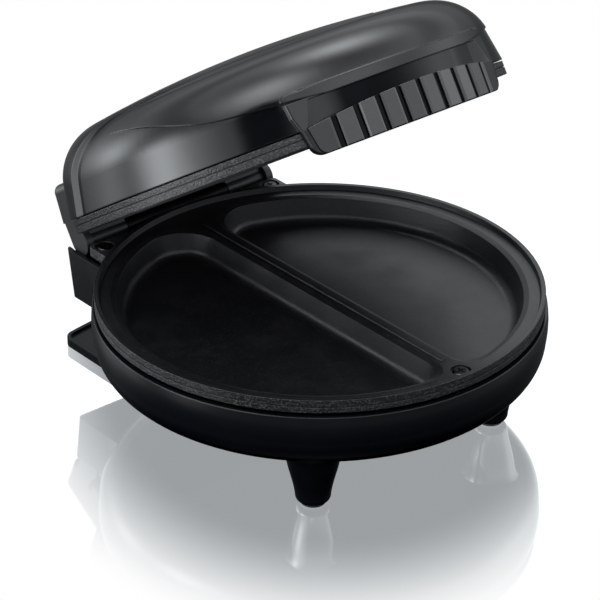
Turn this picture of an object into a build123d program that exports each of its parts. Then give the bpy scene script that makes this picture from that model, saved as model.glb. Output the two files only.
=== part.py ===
from build123d import *
import os
from math import asin, cos, degrees, radians, sin, sqrt, tan

os.makedirs("parts", exist_ok=True)

# Round omelette maker with two half-moon wells and a domed hinged lid. Millimetres, Z up, the grip
# towards -Y. Everything is drawn about the axis of the round cooking plates, and saved with the
# origin on the table under the middle of the whole outline, which reaches further back.
# Lid pieces are drawn closed, then swung open together about the hinge.

# --- housing ---
rim_margin = 1.2             # the rim stands this far outside the plates
rim_gap = 2.0                # from the housing's rim up to the plate
belly_bulge = 0.6            # the side swells this much past the rim
side_height = 14.5           # upright part of the side
turn_width = 18.0            # rounded turn from the side to the floor
turn_rise = 7.0
turn_fullness = 9.0          # how far the turn keeps along the floor before it rises
floor_height = 29.5
housing_wall = 2.6
box_margin = 3.3             # hinge box behind the bowl, outside the lid's cheeks
box_wall = 2.3
box_depth = 8.0              # from the hinge axis to the top of the rear wall
box_lean = 4.0               # the rear wall leans in this much at its foot
box_front = 60.0             # the box runs in under the plates to here
box_height = 25.5
box_corner = 3.0
web_height = 14.0            # web under the knuckles
boss_radius = 4.6
boss_foot = 1.0              # bosses and webs run this far into the wall that carries them
leg_boss_height = 9.0
stand_boss_height = 5.0

# --- cooking plates ---
plate_radius = 109.8
parting_height = 70.0        # top of the lower plate's rim
parting_gap = 0.4            # between the closed plates
rim_band = 6.5               # height of the rim outside
rim_width = 2.8
rim_step = 2.6               # from the rim down to the brim
brim_thickness = 2.7
body_margin = 0.6            # the casting's body is this much wider than the wells
well_margin = 8.1            # from the wells out to the plate's edge
well_depth = 13.0
well_front_corner = 12.0
well_rear_corner = 20.0
well_draft = 14.0            # degrees
well_fillet = 5.0
lip_width = 2.6
lip_depth = 1.0
divider_width = 7.0
bead_radius = 1.6            # rounded bead along the divider
bead_height = 0.7
cast_thickness = 2.7
tab_gap = 6.9                # from the rear tab to the hinge axis
tab_root = 12.0              # how far the tab runs in under the plate's edge
tab_thickness = 5.1
tab_corner = 2.5
split_drop = 3.3             # fine line round the rim
split_size = 0.5
post_circle = 36.0           # posts that carry the heat shield
post_radius = 3.5

# --- hinge ---
hinge_margin = 5.6           # from the plate's edge back to the hinge axis
hinge_drop = 3.8             # the axis lies this far under the top of the lower plate
barrel_radius = 4.3
barrel_gap = 0.5             # from the barrel to the cheek
knuckle_split = 32.3         # lid knuckles outside, housing knuckles inside
knuckle_gap = 0.6
pin_radius = 2.0
pin_clearance = 0.06
pin_end_gap = 0.8
cheek_thickness = 4.0
cheek_radius = 6.8
cheek_half_width = 60.0
cheek_slot_gap = 0.7
cheek_slot_depth = 3.9       # the cheeks swing back into two slots in the rear wall
knuckle_web_rear = 2.8       # web of the lid knuckles behind the axis
lid_opening = 33.1           # degrees

# --- lid cover ---
cover_margin = 1.1           # its lower edge stands this far outside the plates
cover_gap = 0.7              # from the upper plate's rim to the cover
cover_height = 45.6
crown_radius = 535.0
shoulder_radius = 28.0
side_draft = 10.0            # degrees
upper_inset = 1.3            # upper side inside the raised back
upper_shift = -2.0
upper_tilt = 1.08            # degrees, brings the upper side flush with the back at the front
tilt_y = -85.0
tilt_rise = 38.4             # above the cover's edge
lower_inset = 2.1            # lower side inside the raised back
lower_shift = -2.0
lower_drop = 1.0
cover_wall = 5.4             # cavity inside the raised back, at the lower edge
crown_wall = 4.2             # the same at the top of the crown
cavity_shoulder = 24.0

# --- front of the lid ---
front_proud = 1.1            # front panel outside the cover's lower edge
front_half_width = 59.2
front_foot_half_width = 56.0
front_shoulder_rise = 6.4    # from the cover's edge up to where the panel's ends stop leaning
front_corner = 5.5
front_rounding = 1.2
recess_rise = 12.4           # top of the finger recess, above the cover's edge
recess_depth = 6.9           # inside the cover's lower edge
recess_flat = 34.0           # half width of its round wall, before the ends sweep out
recess_half_width = 59.0
recess_wall = 1.8
brow_height = 5.6
brow_proud = 0.3             # the brow stands out from the panel like a peak
brow_half_width = 60.5
brow_end_rise = 2.4          # its lower edge rises this much to the ends
brow_flat = 41.0
brow_corner = 5.0
brow_rounding = 1.0

# --- grip ---
grip_clearance = 0.65        # between the plates and the back of the grip
grip_thickness = 2.45
grip_drop = 13.2             # below the cover's edge
grip_rise = 4.4              # above the cover's edge
grip_top_sag = 4.2           # its top edge falls this much towards the ends
grip_end_margin = 2.6        # panel left outside the grip at each end
grip_rounding = 1.1
groove_count = 9
groove_pitch = 11.4
groove_width = 3.0
groove_foot_width = 1.8
groove_depth = 1.6
facet_bevel = 0.9
facet_bevel_depth = 0.35
seat_gap = 0.05

# --- rear bracket of the lid ---
bracket_rise = 19.9          # above the cover's edge
bracket_depth = 11.2         # from the hinge axis to its rear face, at the foot
bracket_lean = 3.2
bracket_corner = 4.0
bracket_root = 13.0          # how far its ends run in under the cover
bracket_screw_x = 30.0
bracket_screw_rise = 15.6
bracket_screw_reach = 2.6    # the holes end this far behind the hinge axis

# --- feet ---
leg_angle = 42.3             # degrees each side of the front
leg_inset = 7.8              # from the edge of the housing's floor
leg_bottom = 1.0
leg_foot_radius = 8.6
leg_waist_radius = 12.6
leg_waist_height = 23.0
leg_top_radius = 16.0
leg_flare_height = 32.5
leg_foot_corner = 3.5
leg_corner_height = 13.6     # the leg wraps up round the turn of the housing
leg_screw_drop = 7.5         # screw heads sit this far below the housing's floor
pad_radius = 6.0
pad_height = 2.4
pad_gap = 0.1
stand_half_width = 60.5
stand_front = 52.0
stand_overhang = 20.6        # behind the hinge axis
stand_bulge = 3.0
stand_thickness = 3.0
stand_corner = 7.0
stand_lip = 1.4
stand_lip_width = 2.0
neck_half_width = 36.0
neck_front = 56.0
neck_depth = 34.0
neck_corner = 12.0
neck_wall = 2.6
stand_screw_y = 74.0
stand_screw_length = 9.0
rear_pad_x = 48.0
rear_pad_inset = 12.0        # from the stand's rear edge

# --- screws ---
front_screw_inset = 8.6      # from the plate's edge
rear_screw_inset = 6.7       # from the outside of the cheeks
rear_screw_gap = 12.0        # from the hinge axis
head_radius = 4.0
head_height = 1.6
shank_radius = 1.6
shank_length = 9.5
hole_gap = 0.1
head_gap = 1.0
slot_width = 0.9
slot_length = 4.6
slot_depth = 1.0

# --- heating and control ---
element_radius = 3.2
element_circle = 62.0
element_leg_x = 14.0
element_leg_end = 84.0
element_bend = 10.0
element_gap = 0.05
clamp_width = 12.0
clamp_length = 18.0
clamp_under = 1.6
shield_gap = 5.0             # to the terminal block
shield_thickness = 0.8
shield_drop = 13.0
shield_rim = 4.0
shield_flare = 3.0
thermostat_radius = 8.0
thermostat_height = 6.5
thermostat_y = 22.0
strap_length = 28.0
strap_width = 6.0
strap_thickness = 1.2
fuse_radius = 2.2
fuse_length = 16.0
fuse_lead_radius = 0.6
fuse_lead = 5.0
fuse_y = -28.0
terminal_length = 30.0
terminal_width = 12.0
terminal_height = 11.0
terminal_inset = 8.0         # from the edge of the housing's floor
terminal_ways = (-10.0, 0.0, 10.0)
terminal_bore = 2.0
gland_x = 44.0
gland_rise = 11.0            # above the bottom of the hinge box
gland_radius = 5.5
gland_flange = 8.0
gland_bore = 3.6
gland_length = 9.0
gland_flange_height = 2.5
gland_rounding = 0.8
lens_radius = 3.5
lens_flange = 4.6
lens_x = 10.0
lens_y = 36.0
lens_rounding = 0.8
lens_thickness = 1.2
lamp_radius = 2.8
lamp_length = 10.0
lamp_gap = 0.3
holder_thickness = 2.5
holder_half_width = 21.5
holder_depth = 10.0
holder_boss = 3.0
holder_corner = 2.0
holder_screw_x = 18.2
holder_screw_radius = 1.2
holder_screw_length = 5.0

# --- worked out ---
rim_height = parting_height - rim_band - rim_gap
box_bottom = rim_height - box_height
hinge_z = parting_height - hinge_drop
brim_top = parting_height - rim_step
screw_seat = brim_top - tab_thickness
mirror_height = parting_height + parting_gap / 2
upper_seat = 2 * mirror_height - screw_seat
cover_bottom = 2 * mirror_height - (parting_height - rim_band) + cover_gap
cover_top = cover_bottom + cover_height
tilt_z = cover_bottom + tilt_rise
front_shoulder = cover_bottom + front_shoulder_rise
recess_top = cover_bottom + recess_rise
brow_top = recess_top + brow_height
brow_end = recess_top + brow_end_rise
grip_bottom = cover_bottom - grip_drop
grip_top = cover_bottom + grip_rise
bracket_top = cover_bottom + bracket_rise
bracket_screw_z = cover_bottom + bracket_screw_rise
tab_half_width = cheek_half_width
barrel_half_length = cheek_half_width - cheek_thickness - barrel_gap
rear_screw_x = cheek_half_width - rear_screw_inset
neck_rear = neck_front + neck_depth
rim_radius = plate_radius + rim_margin
floor_radius = rim_radius - turn_width
well_radius = plate_radius - well_margin
hinge_y = plate_radius + hinge_margin
box_half_width = cheek_half_width + box_margin
box_rear_top = hinge_y + box_depth
box_rear_bottom = box_rear_top - box_lean
cheek_slot_floor = rim_height - cheek_slot_depth
tab_rear = hinge_y - tab_gap
tab_front = sqrt(plate_radius ** 2 - tab_half_width ** 2) - tab_root
cover_radius = plate_radius + cover_margin
front_radius = cover_radius + front_proud
recess_radius = cover_radius - recess_depth
grip_back = plate_radius + grip_clearance
grip_outer = grip_back + grip_thickness
grip_half_width = front_half_width - grip_end_margin
arch_radius = grip_half_width ** 2 / (2 * grip_top_sag)
bracket_rear_low = hinge_y + bracket_depth
bracket_rear_high = bracket_rear_low - bracket_lean
bracket_front = sqrt(cover_radius ** 2 - cheek_half_width ** 2) - bracket_root
bracket_screw_tip = hinge_y + bracket_screw_reach
stand_rear = hinge_y + stand_overhang
rear_pad_y = stand_rear - rear_pad_inset
front_screw_y = front_screw_inset - plate_radius
rear_screw_y = hinge_y - rear_screw_gap
terminal_y = floor_radius - terminal_inset
shield_radius = terminal_y - terminal_width / 2 - shield_gap
leg_circle = floor_radius - leg_inset
leg_screw_head = floor_height - leg_screw_drop
casting_bottom = brim_top - well_depth - cast_thickness
outline_middle = (stand_rear + stand_bulge - rim_radius - belly_bulge) / 2
leg_x = leg_circle * sin(radians(leg_angle))
leg_y = -leg_circle * cos(radians(leg_angle))
pitch_angle = degrees(groove_pitch / grip_outer)
wall_floor = floor_height + housing_wall
element_height = casting_bottom - element_radius - element_gap
shield_low = casting_bottom - shield_drop
wall_lean = box_lean / box_height
gland_z = box_bottom + gland_rise
gland_y = box_rear_top - wall_lean * (rim_height - gland_z)
cavity_radius = cover_radius - cover_wall - bracket_screw_rise * tan(radians(side_draft))
bracket_screw_y = sqrt(cavity_radius ** 2 - bracket_screw_x ** 2) + head_gap / 2
lens_reach = lens_y + lens_flange + lens_radius
lens_seat = cover_top - crown_wall - lens_reach ** 2 / (2 * crown_radius)
holder_top = lens_seat - lens_thickness - lamp_length - lamp_gap
plate_screw_places = [(0, front_screw_y), (-rear_screw_x, rear_screw_y), (rear_screw_x, rear_screw_y)]
stand_screw_places = [(-neck_half_width / 2, stand_screw_y), (neck_half_width / 2, stand_screw_y)]
post_angles = (30, 150, 270)
clamp_angles = (180, 270, 360)
gland_place = Pos(gland_x, gland_y, gland_z) * Rot(-90 - degrees(wall_lean), 0, 0)


# --- helpers ---
def disc(radius, low, high, x=0.0, y=0.0):
    return Pos(x, y, (low + high) / 2) * Cylinder(radius, high - low)


def block(x0, x1, y0, y1, z0, z1):
    return Pos((x0 + x1) / 2, (y0 + y1) / 2, (z0 + z1) / 2) * Box(x1 - x0, y1 - y0, z1 - z0)


def turned(edges):
    """Solid of revolution about Z, from edges drawn as (radius, height)."""
    return revolve(Plane.XZ * make_face(edges), Axis.Z)


def raised(outline, low, high):
    """Plan outline raised from one height to another."""
    return Pos(0, 0, low) * extrude(outline, high - low)


def on_hinge(radius, x0, x1):
    """Cylinder along the hinge axis."""
    return Pos((x0 + x1) / 2, hinge_y, hinge_z) * Rot(0, 90, 0) * Cylinder(radius, abs(x1 - x0))


def ring_sector(inner, outer, half_width, low, high):
    """Part of a ring round Z at the front, cut off square at each side."""
    ring = disc(outer, low, high) - disc(inner, low - 1, high + 1)
    return ring & block(-half_width, half_width, -outer - 1, -inner / 2, low, high)


def seen_from_front(outline):
    """Front elevation, drawn as (x, height), carried back through the front half of the lid."""
    return extrude(Plane.XZ * outline, 2 * cover_radius)


def front_spot(radius, x):
    """Point of a circle round Z, on its front half, with the direction towards +X there."""
    depth = sqrt(radius ** 2 - x ** 2)
    return (x, -depth), (depth / radius, x / radius)


def upside_down(shape):
    """The upper plate's pieces are the lower ones turned over at the parting face."""
    return mirror(shape, Plane.XY.offset(mirror_height))


def rear_corners(solid, height):
    """Upright edges at the rear, at both ends."""
    upright = solid.edges().filter_by(lambda e: e.length > height / 3 and abs((e % 0.5).Z) > 0.9)
    return upright.filter_by(lambda e: e.center().Y > hinge_y and abs(e.center().X) > 1)


def opened(shape):
    return shape.rotate(Axis((0, hinge_y, hinge_z), (-1, 0, 0)), lid_opening)


def save(name, shape):
    export_step(Pos(0, -outline_middle, 0) * shape, f"parts/{name}.step")


# --- housing ---
def bowl(inset):
    rim = rim_radius - inset
    low = floor_height + inset
    side_low = rim_height - side_height
    side_middle = (rim + belly_bulge, rim_height - side_height / 2)
    side = ThreePointArc((rim, side_low), side_middle, (rim, rim_height))
    turn = Bezier((floor_radius, low), (floor_radius + turn_fullness, low + 1),
                  (rim - 0.4, low + turn_rise), (rim, side_low))
    rest = Polyline((rim, rim_height), (0, rim_height), (0, low), (floor_radius, low))
    return turned(rest + turn + side)


def hinge_box(inset):
    low = box_bottom + inset
    profile = Polyline((box_front, rim_height), (box_front, low), (box_rear_bottom - inset, low),
                       (box_rear_top - inset, rim_height), close=True)
    solid = extrude(Plane.YZ * make_face(profile), box_half_width - inset, both=True)
    return fillet(rear_corners(solid, rim_height - box_bottom), box_corner - inset / 2)


def knuckle_web(x0, x1, rear):
    """Webs under the housing's knuckles, one down the rear wall and one up to the barrel."""
    front = hinge_y - barrel_radius / 2
    return block(x0, x1, front, rear, rim_height - web_height, rim_height) \
        + block(x0, x1, front, hinge_y + barrel_radius * 0.9, rim_height - boss_foot, hinge_z)


def base_housing():
    shell = bowl(0) + hinge_box(0)
    shell -= bowl(housing_wall) + hinge_box(box_wall)
    inside = bowl(boss_foot) + disc(rim_radius - boss_foot, rim_height - boss_foot, screw_seat)
    shell += disc(boss_radius, wall_floor - boss_foot, screw_seat, 0, front_screw_y) & inside
    for x in (-rear_screw_x, rear_screw_x):
        shell += disc(boss_radius, box_bottom + boss_foot, screw_seat, x, rear_screw_y)
    for x, y in plate_screw_places:
        shell -= disc(shank_radius + hole_gap, screw_seat - shank_length, screw_seat + 1, x, y)
    inner, outer = knuckle_gap / 2, knuckle_split - knuckle_gap / 2
    for x0, x1 in ((-outer, -inner), (inner, outer)):
        shell += on_hinge(barrel_radius, x0, x1)
        shell += knuckle_web(x0, x1, box_rear_top - box_wall)
    shell -= on_hinge(pin_radius + pin_clearance, -cheek_half_width, cheek_half_width)
    slot_inner = cheek_half_width - cheek_thickness - cheek_slot_gap
    for side in (-1, 1):
        x0, x1 = sorted((side * slot_inner, side * (cheek_half_width + cheek_slot_gap)))
        shell -= block(x0, x1, hinge_y, box_rear_top + 1, cheek_slot_floor, rim_height + 1)
    leg_places = [(-leg_x, leg_y), (leg_x, leg_y)]
    for places, height in ((leg_places, leg_boss_height), (stand_screw_places, stand_boss_height)):
        for x, y in places:
            shell += disc(boss_radius, wall_floor - boss_foot, wall_floor + height, x, y)
            shell -= disc(shank_radius + hole_gap, floor_height - 1, wall_floor + height - 1, x, y)
    return shell - gland_place * disc(gland_radius + seat_gap, -gland_length, gland_length)


# --- feet ---
def front_leg(x):
    foot = leg_foot_radius
    side = Spline((foot, leg_bottom + leg_foot_corner), (leg_waist_radius, leg_waist_height),
                  (leg_top_radius, leg_flare_height), tangents=((0.1, 1), (1, 1)))
    corner = leg_foot_corner
    sole = foot - corner
    round_edge = ThreePointArc((sole, leg_bottom), (sole + corner * 0.707, leg_bottom + corner * 0.293),
                               (foot, leg_bottom + corner))
    top = leg_flare_height + leg_corner_height
    rest = Polyline((leg_top_radius, leg_flare_height), (leg_top_radius + 1, top), (0, top), (0, leg_bottom),
                    (sole, leg_bottom))
    leg = Pos(x, leg_y, 0) * turned(rest + round_edge + side)
    leg -= bowl(-seat_gap)
    leg -= disc(pad_radius + pad_gap, 0, pad_height, x, leg_y)
    leg -= disc(head_radius + hole_gap, 0, leg_screw_head, x, leg_y)
    return leg - disc(shank_radius + hole_gap, 0, rim_height, x, leg_y)


def rear_stand():
    half = stand_half_width
    left, right = (-half, stand_rear - stand_bulge), (half, stand_rear - stand_bulge)
    sides = Polyline(right, (half, stand_front), (-half, stand_front), left)
    outline = make_face(sides + ThreePointArc(left, (0, stand_rear + stand_bulge), right))
    outline = fillet(outline.vertices(), stand_corner)
    top = leg_bottom + stand_thickness
    plate = raised(outline, leg_bottom, top + stand_lip)
    plate -= raised(offset(outline, -stand_lip_width), top, top + stand_lip + 1)
    middle = (neck_front + neck_rear) / 2
    depth = neck_rear - neck_front
    neck = Pos(0, middle) * RectangleRounded(2 * neck_half_width, depth, neck_corner)
    hollow = offset(neck, -neck_wall)
    stand = plate + raised(neck, leg_bottom, floor_height - seat_gap)
    stand -= raised(hollow, 0, floor_height - neck_wall)
    for x in (-rear_pad_x, rear_pad_x):
        stand -= disc(pad_radius + pad_gap, 0, pad_height, x, rear_pad_y)
    for x, y in stand_screw_places:
        stand -= disc(shank_radius + hole_gap, floor_height - stand_screw_length, floor_height + 1, x, y)
    return stand


def foot_pads():
    places = [(-leg_x, leg_y), (leg_x, leg_y), (-rear_pad_x, rear_pad_y), (rear_pad_x, rear_pad_y)]
    return Compound([disc(pad_radius, 0, pad_height, x, y) for x, y in places])


# --- screws ---
def cross_screw(x, y, under_head, length, head_up=True):
    """Pan-head screw with a cross recess, its head up or down."""
    head = disc(head_radius, 0, head_height)
    head = fillet(head.edges().sort_by(Axis.Z)[-1], head_height * 0.6)
    screw = head + disc(shank_radius, -length, 0)
    slot = block(-slot_length / 2, slot_length / 2, -slot_width / 2, slot_width / 2, head_height - slot_depth,
                 head_height + 1)
    screw = screw - slot - Rot(0, 0, 90) * slot
    if not head_up:
        screw = Rot(180, 0, 0) * screw
    return Pos(x, y, under_head) * screw


# --- cooking plates ---
def half_moon(side, shrink):
    """Outline of one well, to the right (side 1) or left (side -1) of the divider."""
    edge = divider_width / 2 + shrink
    radius = well_radius - shrink
    shape = Circle(radius) & Pos(edge + radius / 2, 0) * Rectangle(radius, 3 * radius)
    corners = shape.vertices().sort_by(Axis.Y)
    shape = fillet([corners[0]], well_front_corner)
    shape = fillet([shape.vertices().sort_by(Axis.Y)[-1]], well_rear_corner)
    return shape if side > 0 else mirror(shape, Plane.YZ)


def well(side):
    mouth = Pos(0, 0, brim_top - lip_depth) * half_moon(side, lip_width)
    lip = loft([Pos(0, 0, brim_top) * half_moon(side, 0), mouth])
    hollow = extrude(mouth, amount=well_depth - lip_depth, dir=(0, 0, -1), taper=well_draft)
    floor_edges = hollow.edges().group_by(Axis.Z)[0]
    return lip + fillet(floor_edges, well_fillet)


def rear_tab():
    length = tab_rear - tab_front
    tab = Pos(0, tab_front + length / 2) * RectangleRounded(2 * tab_half_width, length, tab_corner)
    return raised(tab, brim_top - tab_thickness, brim_top) - disc(plate_radius - boss_foot, 0, parting_height)


def rim_line():
    """Fine groove round the rim, left out where the tab is."""
    top = parting_height - split_drop
    ring = disc(plate_radius + 1, top - split_size, top) - disc(plate_radius - split_size, 0, parting_height)
    wide = tab_half_width + tab_thickness
    return ring - block(-wide, wide, tab_front, tab_rear, 0, parting_height)


def lower_plate():
    rim_inner = plate_radius - rim_width
    band_low = parting_height - rim_band
    brim_low = brim_top - brim_thickness
    body_top = well_radius + body_margin
    body_low = body_top - (brim_low - casting_bottom) * tan(radians(well_draft))
    plate = turned(Polyline(
        (0, brim_top), (0, casting_bottom), (body_low, casting_bottom), (body_top, brim_low),
        (rim_inner, brim_low), (rim_inner, band_low), (plate_radius, band_low), (plate_radius, parting_height),
        (rim_inner + body_margin, parting_height), (rim_inner, brim_top), close=True))
    plate += rear_tab() + disc(boss_radius + 0.8, screw_seat, brim_top, 0, front_screw_y)
    plate -= rim_line()
    for side in (-1, 1):
        plate -= well(side)
    bead = Pos(0, 0, brim_top) * Rot(90, 0, 0) * Cylinder(bead_radius, 2 * (well_radius - well_front_corner))
    plate += bead & disc(well_radius, brim_top - 0.5, brim_top + bead_height)
    for x, y in plate_screw_places:
        plate -= disc(head_radius + head_gap, brim_top - head_height, parting_height, x, y)
        plate -= disc(shank_radius + hole_gap, casting_bottom, parting_height, x, y)
    for turn in post_angles:
        post = disc(post_radius, shield_low + shield_thickness, casting_bottom, post_circle, 0)
        hole = disc(shank_radius + hole_gap, shield_low, casting_bottom - 1, post_circle, 0)
        plate = plate + Rot(0, 0, turn) * post - Rot(0, 0, turn) * hole
    return plate - disc(boss_radius + 0.4, casting_bottom - 1, screw_seat, 0, front_screw_y)


def plate_screws():
    return Compound([cross_screw(x, y, brim_top - head_height, shank_length) for x, y in plate_screw_places])


# --- heating ---
def element_path():
    """Omega-shaped centre line: two straight legs, two easy bends and most of a circle."""
    reach = element_circle + element_bend
    bend_x = element_leg_x + element_bend
    bend_y = sqrt(reach ** 2 - bend_x ** 2)
    swing = 90 - degrees(asin(bend_x / reach))
    open_half = degrees(asin(bend_x / reach))
    leg_in = Line((element_leg_x, element_leg_end, element_height), (element_leg_x, bend_y, element_height))
    bend_in = JernArc(leg_in @ 1, leg_in % 1, element_bend, swing)
    round_arc = JernArc(bend_in @ 1, bend_in % 1, element_circle, -(360 - 2 * open_half))
    bend_out = JernArc(round_arc @ 1, round_arc % 1, element_bend, swing)
    leg_out = Line(bend_out @ 1, bend_out @ 1 + (bend_out % 1) * (element_leg_end - bend_y))
    return leg_in + bend_in + round_arc + bend_out + leg_out


def element(radius):
    path = element_path()
    return sweep(Plane(path @ 0, z_dir=path % 0) * Circle(radius), path)


def element_clamps():
    clamp = block(element_circle - clamp_length / 2, element_circle + clamp_length / 2, -clamp_width / 2,
                  clamp_width / 2, element_height - element_radius - clamp_under, casting_bottom - seat_gap)
    tube = element(element_radius + element_gap)
    return Compound([Rot(0, 0, turn) * clamp - tube for turn in clamp_angles])


def heat_shield():
    low, high = shield_low, shield_low + shield_rim
    inside = low + shield_thickness
    flat = shield_radius - shield_flare
    pan = turned(Polyline((0, low), (flat, low), (shield_radius, high),
                          (shield_radius - shield_thickness, high), (flat - shield_thickness / 2, inside),
                          (0, inside), close=True))
    for turn in post_angles:
        pan -= Rot(0, 0, turn) * disc(shank_radius + hole_gap, low - 1, inside + 1, post_circle, 0)
    return pan


def shield_screws():
    screw = cross_screw(post_circle, 0, shield_low, shield_drop - 3, head_up=False)
    return Compound([Rot(0, 0, turn) * screw for turn in post_angles])


def thermostat():
    """Round snap-action switch on a flat mounting strap."""
    top = casting_bottom - seat_gap
    strap = block(-strap_length / 2, strap_length / 2, thermostat_y - strap_width / 2,
                  thermostat_y + strap_width / 2, top - strap_thickness, top)
    return disc(thermostat_radius, top - thermostat_height, top, 0, thermostat_y) + strap


def thermal_fuse():
    lying = Pos(0, fuse_y, casting_bottom - fuse_radius - seat_gap) * Rot(0, 90, 0)
    leads = Cylinder(fuse_lead_radius, fuse_length + 2 * fuse_lead)
    return lying * Cylinder(fuse_radius, fuse_length) + lying * leads


def terminal_block():
    low, high = wall_floor, wall_floor + terminal_height
    body = block(-terminal_length / 2, terminal_length / 2, terminal_y - terminal_width / 2,
                 terminal_y + terminal_width / 2, low, high)
    for x in terminal_ways:
        way = Pos(x, terminal_y, low + 2 * terminal_bore) * Rot(90, 0, 0)
        body -= way * Cylinder(terminal_bore, terminal_width + 2)
        body -= disc(terminal_bore, low + 3 * terminal_bore, high + 1, x, terminal_y)
    return body


def cord_gland():
    collar = disc(gland_radius, -gland_length, gland_flange_height)
    collar += disc(gland_flange, seat_gap, gland_flange_height)
    collar = fillet(collar.edges().sort_by(Axis.Z)[-1], gland_rounding)
    return gland_place * (collar - disc(gland_bore, -2 * gland_length, gland_length))


# --- lid cover ---
def dome(inset, drop, shift, bottom, shoulder=shoulder_radius):
    """Crowned, round-shouldered dome whose side leans in a little towards the top."""
    radius = cover_radius - inset
    top = cover_top - drop
    height = top - bottom
    lean = tan(radians(side_draft))
    foot = radius + (cover_bottom - bottom) * lean
    outline = make_face(Polyline((0, bottom), (foot, bottom), (foot - height * lean, top + 1), (0, top + 1),
                                 close=True))
    outline = outline & Pos(0, top - crown_radius) * Circle(crown_radius)
    corner = outline.vertices().sort_by(lambda v: v.X + v.Y)[-1]
    return Pos(0, shift, 0) * revolve(Plane.XZ * fillet([corner], shoulder), Axis.Z)


def back_outline():
    """Plan of the raised back, which narrows to a point towards the grip."""
    share = cover_radius / 100
    right = [(101, 40.6), (83, 8.1), (57.7, -14.4), (37.9, -39.7), (18.9, -61.3), (0, -77.5)]
    right = Spline([(x * share, y * share) for x, y in right], tangents=((-0.35, -1), (-0.8, -0.6)))
    start, wide = right @ 0, 126 * share
    box = Polyline((start.X, start.Y), (start.X, wide), (-start.X, wide), (-start.X, start.Y))
    return make_face(right + mirror(right, Plane.YZ) + box)


def above_waist():
    """Everything above the line where the lower side ends, which falls towards the grip."""
    share = cover_radius / 100
    line = [(126, 35.4), (54, 33.9), (8.1, 31.9), (-13.5, 29.9), (-37.9, 25.4), (-63.1, 17.6), (-83, 14.6),
            (-92, 12.9), (-101, 12.4), (-117, 12.4)]
    line = Spline([(y * share, cover_bottom + rise) for y, rise in line])
    (y0, z0), (y1, z1) = [(end.X, end.Y) for end in (line @ 0, line @ 1)]
    profile = make_face(line + Polyline((y1, z1), (y1, cover_top + 9), (y0, cover_top + 9), (y0, z0)))
    return extrude(Plane.YZ * profile, 2 * cover_radius, both=True)


def front_outline(margin, top):
    """Elevation of the front panel, or of the grip with a margin inside it."""
    wide, foot = front_half_width - margin, front_foot_half_width - margin
    outline = make_face(Polyline((-foot, grip_bottom), (foot, grip_bottom), (wide, front_shoulder), (wide, top),
                                 (-wide, top), (-wide, front_shoulder), close=True))
    return fillet(outline.vertices().sort_by(Axis.Y)[:2], front_corner - margin / 2)


def front_panel():
    """Wall that carries the grip. It runs down outside the plates and leans with the cover above."""
    lean = tan(radians(side_draft))
    top = recess_top + 1
    face = Polyline((recess_radius, grip_bottom - 1), (front_radius, grip_bottom - 1),
                    (front_radius, cover_bottom),
                    (front_radius - (top - cover_bottom) * lean, top), (recess_radius, top), close=True)
    panel = turned(face) & seen_from_front(front_outline(0, top))
    edges = panel.edges().filter_by(lambda e: abs(e.center().X) > front_foot_half_width - front_corner
                                    and radius_at(e @ 0.5) > front_radius - 3 and e.center().Z < top - 1)
    panel = fillet(edges, front_rounding)
    return panel - disc(grip_back, 0, cover_bottom)


def radius_at(point):
    return sqrt(point.X ** 2 + point.Y ** 2)


def brow():
    """Peak over the finger recess, with rounded upper corners."""
    lean = tan(radians(side_draft))
    low_radius = front_radius - (recess_top - cover_bottom) * lean + brow_proud
    profile = Polyline((recess_radius, recess_top), (low_radius, recess_top),
                       (low_radius - (brow_top - recess_top) * lean / 2, brow_top), (recess_radius, brow_top),
                       close=True)
    outline = make_face(Polyline((-brow_flat, recess_top), (brow_flat, recess_top), (brow_half_width, brow_end),
                                 (brow_half_width - 1, brow_top), (1 - brow_half_width, brow_top),
                                 (-brow_half_width, brow_end), close=True))
    corners = outline.vertices().sort_by(Axis.Y)
    outline = fillet(corners[-2:], brow_corner - brow_rounding)
    peak = turned(profile) & seen_from_front(outline)
    edges = peak.edges().filter_by(lambda e: radius_at(e @ 0.5) > recess_radius + 2 and e.center().Z > brow_end)
    return fillet(edges, brow_rounding)


def arch(clearance):
    """Everything below the arched top of the grip."""
    return Pos(0, 0, grip_top - arch_radius) * Rot(90, 0, 0) * Cylinder(arch_radius + clearance, 3 * cover_radius)


def finger_recess():
    """Round wall in the middle that sweeps out to the panel's face at both ends."""
    start, along = front_spot(recess_radius, recess_flat)
    end, out = front_spot(front_radius + front_rounding / 2, recess_half_width)
    half_way, _ = front_spot((recess_radius + front_radius) / 2, (recess_flat + recess_half_width) / 2)
    right = Spline([start, half_way, end], tangents=(along, out))
    wall = ThreePointArc((-start[0], start[1]), (0, -recess_radius), start)
    front = -2 * cover_radius
    rest = Polyline(end, (end[0], front), (-end[0], front), (-end[0], end[1]))
    plan = make_face(right + wall + mirror(right, Plane.YZ) + rest)
    return raised(plan, cover_bottom, recess_top) - arch(0)


def grip_seat(clearance):
    """Outline of the grip as a slab, for the pocket in the panel."""
    slab = seen_from_front(offset(front_outline(grip_end_margin, grip_top + 1), clearance))
    return slab & arch(clearance)


def cavity():
    """Hollow of the lid, which leaves a wall behind the finger recess."""
    hollow = dome(cover_wall, crown_wall, 0, cover_bottom - 2, cavity_shoulder)
    return hollow - ring_sector(recess_radius - recess_wall, cover_radius, recess_half_width, 0,
                                recess_top + recess_wall)


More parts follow.
